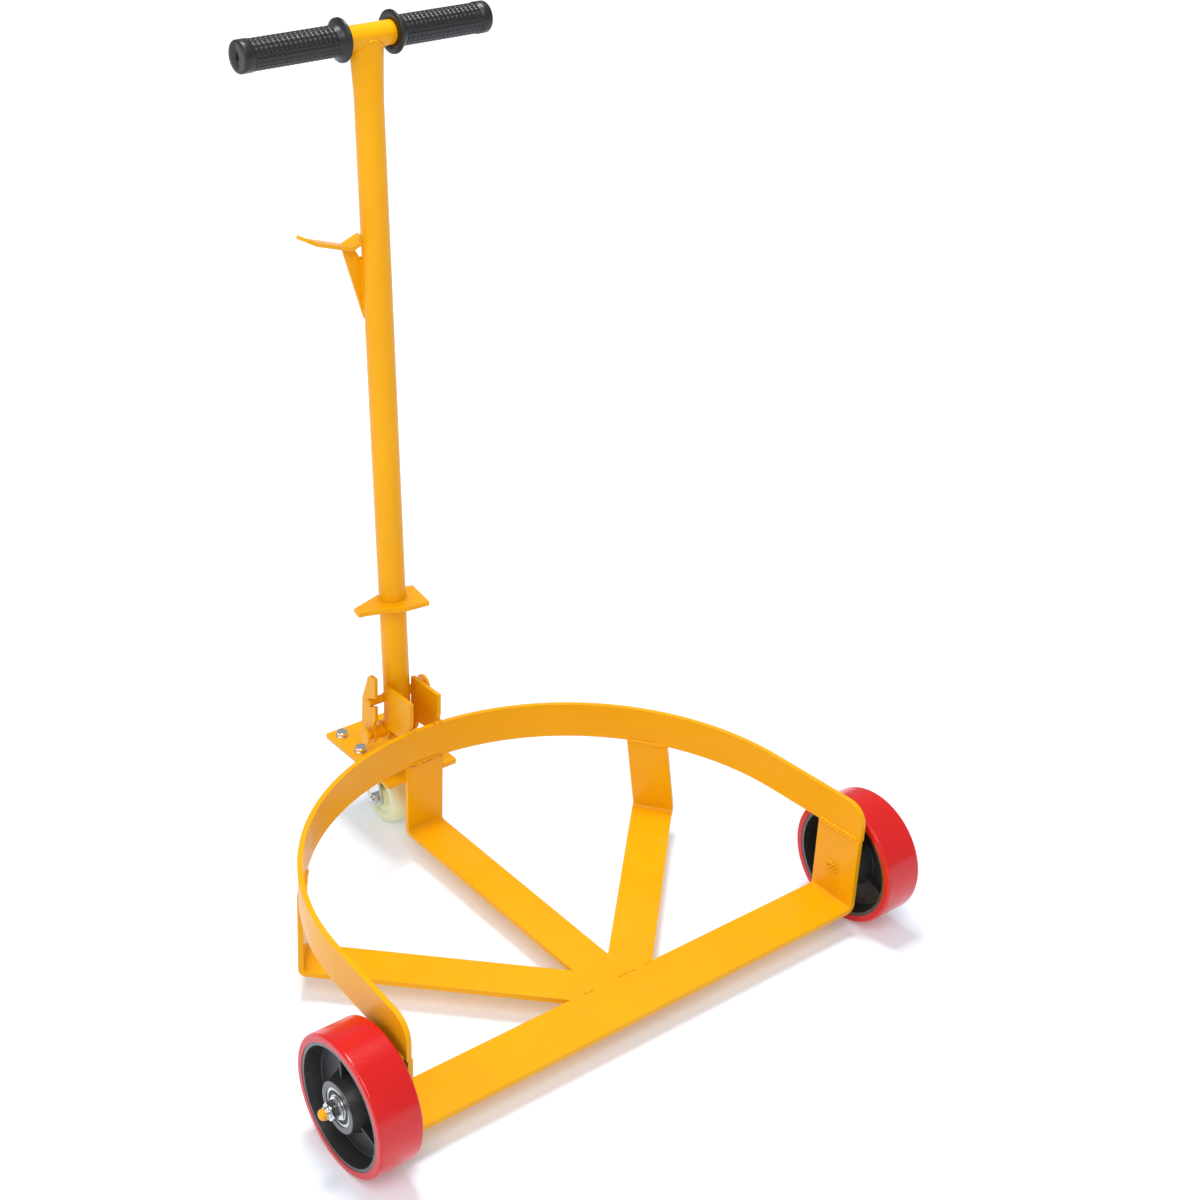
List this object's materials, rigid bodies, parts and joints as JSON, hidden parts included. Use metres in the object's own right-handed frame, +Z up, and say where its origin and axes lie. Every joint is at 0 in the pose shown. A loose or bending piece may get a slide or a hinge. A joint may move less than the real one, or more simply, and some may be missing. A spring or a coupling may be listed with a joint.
{
  "type": "drum caddy",
  "caption": "Low drum caddy: half-ring frame on flat-bar spokes, road wheels, a swivel caster, and a tilting T-handle carrying a drum hook and a lid wrench.",
  "frame": {"origin": "on the floor under the middle of the caddy, 140 mm behind the centre of the drum ring", "axes": "+X along the road-wheel axles towards the right wheel, +Y from the open front to the handle, +Z up"},
  "size_m": [0.785, 0.6132, 0.9884],
  "materials": {
    "yellow_paint": "amber yellow powder coat on mild steel",
    "red_polyurethane": "glossy red cast polyurethane tread",
    "black_cast_iron": "black enamelled casting, machined rim and boss faces",
    "bearing_steel": "ground bearing steel",
    "seal_rubber": "moulded nitrile seal",
    "zinc_steel": "bright zinc plate",
    "black_grip": "moulded black rubber with a waffle grip",
    "cream_nylon": "natural cast nylon"
  },
  "bodies": {
    "frame": {"ring_band": "yellow_paint", "crossbar": "yellow_paint", "spoke_left": "yellow_paint", "spoke_middle": "yellow_paint", "spoke_right": "yellow_paint", "caster_deck": "yellow_paint", "hinge_lug_left": "yellow_paint", "hinge_lug_right": "yellow_paint", "axle_stud_left": "yellow_paint", "axle_stud_right": "yellow_paint", "axle_spacers_left": "zinc_steel", "axle_spacers_right": "zinc_steel", "axle_washers": "zinc_steel", "axle_nuts": "zinc_steel", "bearing_inner_rings_left": "bearing_steel", "bearing_inner_rings_right": "bearing_steel", "caster_top_plate": "zinc_steel", "caster_kingpin": "zinc_steel", "caster_swivel_balls": "bearing_steel", "caster_bolts": "zinc_steel", "caster_bolt_washers": "zinc_steel", "caster_bolt_nuts": "zinc_steel"},
    "wheel_left": {"wheel_tyre_left": "red_polyurethane", "wheel_hub_left": "black_cast_iron", "bearing_outer_rings_left": "bearing_steel", "bearing_balls_left": "bearing_steel", "bearing_seals_left": "seal_rubber"},
    "wheel_right": {"wheel_tyre_right": "red_polyurethane", "wheel_hub_right": "black_cast_iron", "bearing_outer_rings_right": "bearing_steel", "bearing_balls_right": "bearing_steel", "bearing_seals_right": "seal_rubber"},
    "caster_yoke": {"caster_fork": "zinc_steel", "caster_axle_bolt": "zinc_steel", "caster_axle_nut": "zinc_steel", "caster_axle_sleeve": "zinc_steel"},
    "caster_roller": {"caster_wheel": "cream_nylon"},
    "handle": {"handle_pole": "yellow_paint", "t_bar": "yellow_paint", "grip_left": "black_grip", "grip_right": "black_grip", "drum_hook": "yellow_paint", "hook_brace": "yellow_paint", "wrench_plate": "yellow_paint", "pivot_pin": "yellow_paint", "stop_pin": "yellow_paint", "side_plate": "yellow_paint", "pivot_collar": "yellow_paint"}
  },
  "joints": [
    {"name": "wheel_left_roll", "type": "hinge", "parent": "frame", "child": "wheel_left", "pos_m": [-0.3465, -0.2304, 0.0762], "axis": [1, 0, 0], "continuous": true},
    {"name": "wheel_right_roll", "type": "hinge", "parent": "frame", "child": "wheel_right", "pos_m": [0.3465, -0.2304, 0.0762], "axis": [1, 0, 0], "continuous": true},
    {"name": "caster_swivel", "type": "hinge", "parent": "frame", "child": "caster_yoke", "pos_m": [0, 0.2696, 0.09], "axis": [0, 0, 1], "continuous": true},
    {"name": "caster_roll", "type": "hinge", "parent": "caster_yoke", "child": "caster_roller", "pos_m": [0, 0.2416, 0.0375], "axis": [1, 0, 0], "continuous": true},
    {"name": "handle_tilt", "type": "hinge", "parent": "frame", "child": "handle", "pos_m": [0, 0.2196, 0.15], "axis": [-1, 0, 0], "range_deg": [0, 95]}
  ]
}
